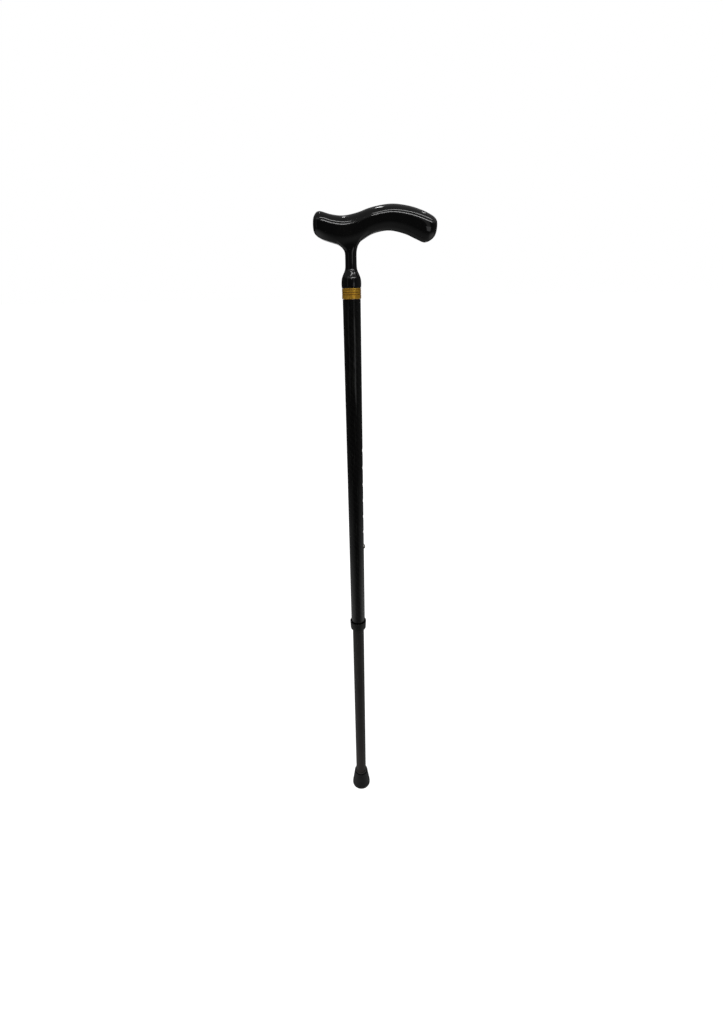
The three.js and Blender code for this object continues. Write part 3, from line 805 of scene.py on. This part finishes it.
INNER = {
    "handle_core": steel, "handle_stud": steel, "retaining_pin": steel, "tip_washer": steel,
    "tube_top_plug": aluminium, "threaded_sleeve": nylon, "split_ring": milky, "guide_plug": milky,
}
for name, look in INNER.items():
    NODES[name].data.materials.clear()
    NODES[name].data.materials.append(look)

# ------------------------------------------------------------ stage, lights and camera, in metres
FLOOR_REACH = 60
corners = [(x * FLOOR_REACH, y * FLOOR_REACH, 0) for x, y in ((-1, -1), (1, -1), (1, 1), (-1, 1))]
floor_mesh = bpy.data.meshes.new("floor")
floor_mesh.from_pydata(corners, [], [(0, 1, 2, 3)])
floor = bpy.data.objects.new("floor", floor_mesh)
SCENE.collection.objects.link(floor)
floor.data.materials.append(pale_floor())
floor.visible_glossy = False

world = bpy.data.worlds.new("studio")
SCENE.world = world
world.use_nodes = True
nodes, links = world.node_tree.nodes, world.node_tree.links


def world_node(kind, *values, **settings):
    """Adds a node to the world, fills its inputs in order and returns its first output."""
    node = nodes.new("ShaderNode" + kind)
    for key, value in settings.items():
        setattr(node, key, value)
    for socket, value in zip(node.inputs, values):
        if isinstance(value, bpy.types.NodeSocket):
            links.new(value, socket)
        elif value is not None:
            socket.default_value = value
    return node.outputs[0]


# White to the camera. In reflections it is brightest low down at the sides, more so on the right,
# and faint elsewhere.
direction = nodes.new("ShaderNodeSeparateXYZ")
links.new(nodes.new("ShaderNodeTexCoord").outputs["Generated"], direction.inputs[0])
rightward, _, upward = direction.outputs
offset = world_node("Math", rightward, -0.07, operation="ADD")
sideways = world_node("Math", offset, operation="ABSOLUTE")
below = world_node("MapRange", upward, -0.84, -0.34, 0.63, 0.05)
beside = world_node("MapRange", sideways, 0.36, 0.90, 0.16, 1.0)
above = world_node("MapRange", upward, 0.38, 0.50, 0.03, 0.18)
right = world_node("MapRange", rightward, -1.0, 1.0, 0.72, 1.5)
low = world_node("Math", below, beside, operation="MULTIPLY")
either = world_node("Math", low, above, operation="MAXIMUM")
surround = world_node("Math", either, right, operation="MULTIPLY")
to_camera = nodes.new("ShaderNodeLightPath").outputs["Is Camera Ray"]
seen = world_node("Mix", to_camera, None, surround, 1.0)
links.new(seen, nodes["Background"].inputs["Strength"])
nodes["Background"].inputs["Color"].default_value = (1, 1, 1, 1)

HAND = (0.03, 0, 0.965)
LAMPS = [  # name, place, the point it faces, width, length, power, whether reflections show it
    ("low_strip", (0.5, -1.11, 1.77), HAND, 1.5, 0.07, 3.0, True),
    ("high_strip", (0.45, -0.72, 2.11), HAND, 1.6, 0.07, 2.6, True),
    ("left_strip", (-0.75, -1.04, 1.90), HAND, 0.8, 0.16, 0.2, True),
    ("overhead", (-0.08, 0.35, 2.1), HAND, 0.07, 0.07, 0.5, True),
    ("overhead_right", (0.67, 0.44, 2.1), HAND, 0.05, 0.05, 0.22, True),
    ("side_low", (0.75, -1.3, 0.79), (0, 0, 0.79), 0.50, 0.5, 0.40, True),
    ("side_high", (0.75, -1.3, 1.36), (0, 0, 1.36), 0.35, 0.64, 0.11, True),
    ("left_side", (-1.06, -1.06, 1.2), (0, 0, 0.9), 0.2, 1.3, 0.13, True),
    ("back_left", (-0.32, 1.45, 0.5), (0, 0, 0.5), 0.16, 0.9, 0.35, True),
    ("back_right", (0.36, 1.45, 0.5), (0, 0, 0.5), 0.12, 0.9, 0.2, True),
    ("back_fill", (0.3, 1.7, 1.0), (0, 0, 0.5), 1.0, 0.8, 12, False),
    ("foot_fill", (-0.12, -0.3, 0.03), (0, 0, 0.06), 0.2, 0.05, 1.0, False),
    ("fill", (-0.9, -1.5, 0.7), (0, 0, 0.1), 1.0, 0.8, 10, False),
]
for name, place, aim, width, length, power, glossy in LAMPS:
    lamp = bpy.data.lights.new(name, "AREA")
    lamp.shape, lamp.size, lamp.size_y, lamp.energy = "RECTANGLE", width, length, power
    panel = bpy.data.objects.new(name, lamp)
    SCENE.collection.objects.link(panel)
    panel.location = place
    facing = (Vector(aim) - Vector(place)).to_track_quat("-Z", "Y")
    panel.rotation_euler = facing.to_matrix().to_euler()
    panel.visible_camera = False
    panel.visible_glossy = glossy

sun = bpy.data.lights.new("sky_panel", "SUN")
sun.energy, sun.angle = 1.9, math.radians(40)
sun_object = bpy.data.objects.new("sky_panel", sun)
SCENE.collection.objects.link(sun_object)
sun_object.rotation_euler = (math.radians(18), math.radians(-12), 0)
sun_object.visible_glossy = False

PITCH, ROLL = math.radians(64.9), math.radians(-1.158)
LENS_SHIFT = 0.00537  # sideways, as a share of the picture's longer side
lens = bpy.data.cameras.new("camera")
lens.sensor_fit, lens.sensor_width, lens.lens = "AUTO", 36, 16.66
lens.shift_x = LENS_SHIFT
camera = bpy.data.objects.new("camera", lens)
SCENE.collection.objects.link(camera)
camera.location = (0, -0.632, 0.8921)
turn = Matrix.Rotation(PITCH, 3, "X") @ Matrix.Rotation(ROLL, 3, "Z")
camera.rotation_euler = turn.to_euler()
SCENE.camera = camera
SCENE.view_settings.view_transform = "Standard"
